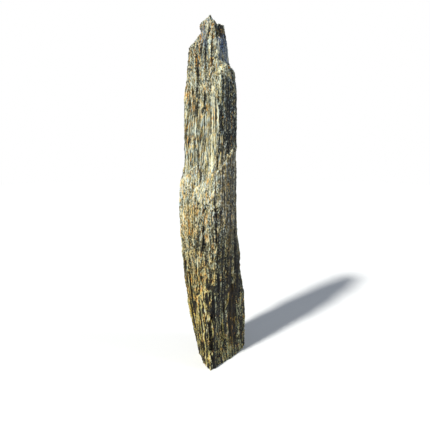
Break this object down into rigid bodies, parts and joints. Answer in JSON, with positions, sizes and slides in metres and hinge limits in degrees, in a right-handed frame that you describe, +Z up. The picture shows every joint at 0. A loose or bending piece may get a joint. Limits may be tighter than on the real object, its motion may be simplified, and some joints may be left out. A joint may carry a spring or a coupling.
{
  "type": "gneiss fountain stone",
  "caption": "Tall, narrow column of banded gneiss, split along its upright layers, with a broken pointed top and a flat sawn foot to stand on.",
  "frame": {"origin": "on the plane of the sawn foot, under the middle of the stone's outline as seen from above", "axes": "+Z up along the column; +X to the right of someone who faces the front corner between the pale and the dark face; +Y away from them"},
  "size_m": [0.173, 0.1513, 0.8318],
  "materials": {
    "gneiss": "weathered and rough, split along its layers"
  },
  "bodies": {
    "root": {"gneiss_column": "gneiss"}
  },
  "joints": []
}
